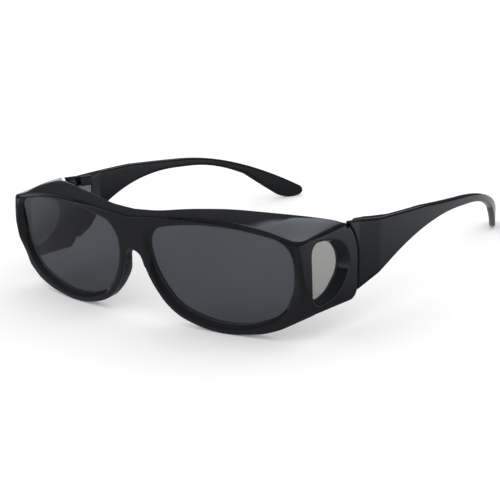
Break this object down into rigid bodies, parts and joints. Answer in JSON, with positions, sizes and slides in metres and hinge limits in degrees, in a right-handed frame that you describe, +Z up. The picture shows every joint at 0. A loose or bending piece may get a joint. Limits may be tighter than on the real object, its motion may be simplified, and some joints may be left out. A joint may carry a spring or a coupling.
{
  "type": "fit-over driving glasses",
  "caption": "Wrap-around fit-over driving glasses with curved smoke lenses, side windows in deep shields and folding temples.",
  "frame": {"origin": "middle of the footprint, on the surface the rims and temple tips rest on", "axes": "+X to the wearer's left, +Y from the front to the temple tips, +Z up; the glasses rest on both rims and both temple tips"},
  "size_m": [0.154, 0.1582, 0.0441],
  "materials": {
    "frame_black": "polished injection-moulded black",
    "lens_smoke": "smoke grey tint, polished plastic lens",
    "side_smoke": "light grey tint, polished plastic lens",
    "hinge_steel": "plain stamped steel"
  },
  "bodies": {
    "front": {"front_frame": "frame_black", "lens_left": "lens_smoke", "lens_right": "lens_smoke", "side_lens_left": "side_smoke", "side_lens_right": "side_smoke", "hinge_front_leaf_left": "hinge_steel", "hinge_front_leaf_right": "hinge_steel", "hinge_screw_left": "hinge_steel", "hinge_screw_right": "hinge_steel"},
    "left_arm": {"temple_left": "frame_black", "hinge_temple_leaf_left": "hinge_steel"},
    "right_arm": {"temple_right": "frame_black", "hinge_temple_leaf_right": "hinge_steel"}
  },
  "joints": [
    {"name": "left_temple_fold", "type": "hinge", "parent": "front", "child": "left_arm", "pos_m": [0.0689, -0.04037, 0.02871], "axis": [0, 0.1302, 0.9915], "range_deg": [0, 90]},
    {"name": "right_temple_fold", "type": "hinge", "parent": "front", "child": "right_arm", "pos_m": [-0.0689, -0.04037, 0.02871], "axis": [0, -0.1302, -0.9915], "range_deg": [0, 76]}
  ]
}
